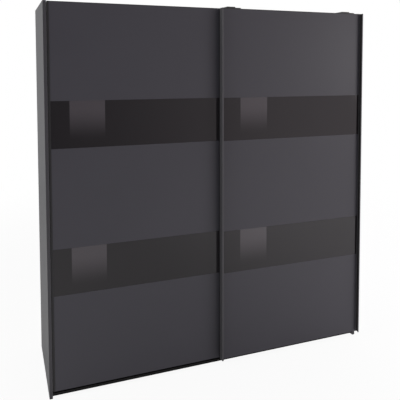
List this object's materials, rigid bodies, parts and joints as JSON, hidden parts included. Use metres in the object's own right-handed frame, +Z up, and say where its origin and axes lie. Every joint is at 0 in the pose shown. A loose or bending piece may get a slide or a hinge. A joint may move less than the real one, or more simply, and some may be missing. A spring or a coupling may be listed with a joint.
{
  "type": "sliding door wardrobe",
  "caption": "Sliding-door wardrobe: dark board doors crossed by flush black glass bands, hung on a top track before a board carcass with hat shelves and clothes rails.",
  "frame": {"origin": "on the floor, at the centre of the overall footprint (grip profiles at the front, carcass sides at the back)", "axes": "+X to the right along the front, +Y towards the wall behind, +Z up"},
  "size_m": [1.8, 0.64, 1.9875],
  "materials": {
    "carcass_board": "graphite laminate on particle board, fine matte pearl texture",
    "door_board": "graphite laminate on particle board, fine matte pearl texture",
    "shelf_board": "light grey linen-structured laminate",
    "back_board": "light grey printed fibre board",
    "band_glass": "back-lacquered black glass with a printed mirror square, polished",
    "grip_aluminium": "graphite anodised satin, black inside the finger channel",
    "edge_aluminium": "black anodised satin",
    "hanger_plastic": "dark grey moulded, satin",
    "track_aluminium": "extruded, natural anodised",
    "guide_plastic": "black extruded, satin",
    "joint_plastic": "grey extruded",
    "cup_plastic": "dark grey moulded",
    "glider_plastic": "black moulded",
    "wheel_nylon": "natural nylon",
    "stop_rubber": "black rubber",
    "zinc_steel": "zinc plated",
    "rail_chrome": "chrome plated"
  },
  "bodies": {
    "carcass": {"side_panel_left": "carcass_board", "side_panel_right": "carcass_board", "top_panel": "carcass_board", "bottom_panel": "carcass_board", "middle_partition": "carcass_board", "back_sheet_left": "back_board", "back_sheet_right": "back_board", "back_joint_strip": "joint_plastic", "hat_shelf_left": "shelf_board", "hat_shelf_right": "shelf_board", "clothes_rail_left": "rail_chrome", "clothes_rail_right": "rail_chrome", "rail_cups": "cup_plastic", "shelf_pins": "zinc_steel", "cam_discs": "zinc_steel", "cam_bolts": "zinc_steel", "floor_gliders": "glider_plastic", "middle_feet": "glider_plastic", "top_track": "track_aluminium", "track_screws": "zinc_steel", "track_stops": "stop_rubber", "bottom_guide_rail": "guide_plastic", "guide_rail_screws": "zinc_steel", "wall_brackets": "zinc_steel", "wall_bracket_screws": "zinc_steel"},
    "rear_door": {"rear_door_leaf": "door_board", "rear_door_glass_upper": "band_glass", "rear_door_glass_lower": "band_glass", "rear_door_edge_left": "edge_aluminium", "rear_door_edge_right": "edge_aluminium", "rear_door_hanger_left": "zinc_steel", "rear_door_hanger_right": "zinc_steel", "rear_door_axle_left": "zinc_steel", "rear_door_axle_right": "zinc_steel", "rear_door_hanger_screws": "zinc_steel", "rear_door_guide_angles": "zinc_steel", "rear_door_guide_shoes": "wheel_nylon", "rear_door_guide_screws": "zinc_steel"},
    "rear_door_wheel_left_body": {"rear_door_wheel_left": "wheel_nylon"},
    "rear_door_wheel_right_body": {"rear_door_wheel_right": "wheel_nylon"},
    "front_door": {"front_door_leaf": "door_board", "front_door_glass_upper": "band_glass", "front_door_glass_lower": "band_glass", "front_door_edge_left": "grip_aluminium", "front_door_edge_right": "grip_aluminium", "front_door_hanger_left": "hanger_plastic", "front_door_hanger_right": "hanger_plastic", "front_door_axle_left": "zinc_steel", "front_door_axle_right": "zinc_steel", "front_door_hanger_screws": "zinc_steel", "front_door_guide_angles": "zinc_steel", "front_door_guide_shoes": "wheel_nylon", "front_door_guide_screws": "zinc_steel"},
    "front_door_wheel_left_body": {"front_door_wheel_left": "wheel_nylon"},
    "front_door_wheel_right_body": {"front_door_wheel_right": "wheel_nylon"}
  },
  "joints": [
    {"name": "rear_door_slide", "type": "slide", "parent": "carcass", "child": "rear_door", "axis": [1, 0, 0], "range_m": [0, 0.868]},
    {"name": "front_door_slide", "type": "slide", "parent": "carcass", "child": "front_door", "axis": [1, 0, 0], "range_m": [-0.9, 0]},
    {"name": "rear_door_wheel_left_spin", "type": "hinge", "parent": "rear_door", "child": "rear_door_wheel_left_body", "pos_m": [-0.816, -0.237, 1.9643], "axis": [0, 1, 0], "continuous": true},
    {"name": "rear_door_wheel_right_spin", "type": "hinge", "parent": "rear_door", "child": "rear_door_wheel_right_body", "pos_m": [-0.083, -0.237, 1.9643], "axis": [0, 1, 0], "continuous": true},
    {"name": "front_door_wheel_left_spin", "type": "hinge", "parent": "front_door", "child": "front_door_wheel_left_body", "pos_m": [0.07, -0.211, 1.9643], "axis": [0, 1, 0], "continuous": true},
    {"name": "front_door_wheel_right_spin", "type": "hinge", "parent": "front_door", "child": "front_door_wheel_right_body", "pos_m": [0.803, -0.211, 1.9643], "axis": [0, 1, 0], "continuous": true}
  ],
  "couplings": [
    {"joint": "rear_door_wheel_left_spin", "follows": "rear_door_slide", "rad_per_m": 111.11},
    {"joint": "rear_door_wheel_right_spin", "follows": "rear_door_slide", "rad_per_m": 111.11},
    {"joint": "front_door_wheel_left_spin", "follows": "front_door_slide", "rad_per_m": 111.11},
    {"joint": "front_door_wheel_right_spin", "follows": "front_door_slide", "rad_per_m": 111.11}
  ]
}
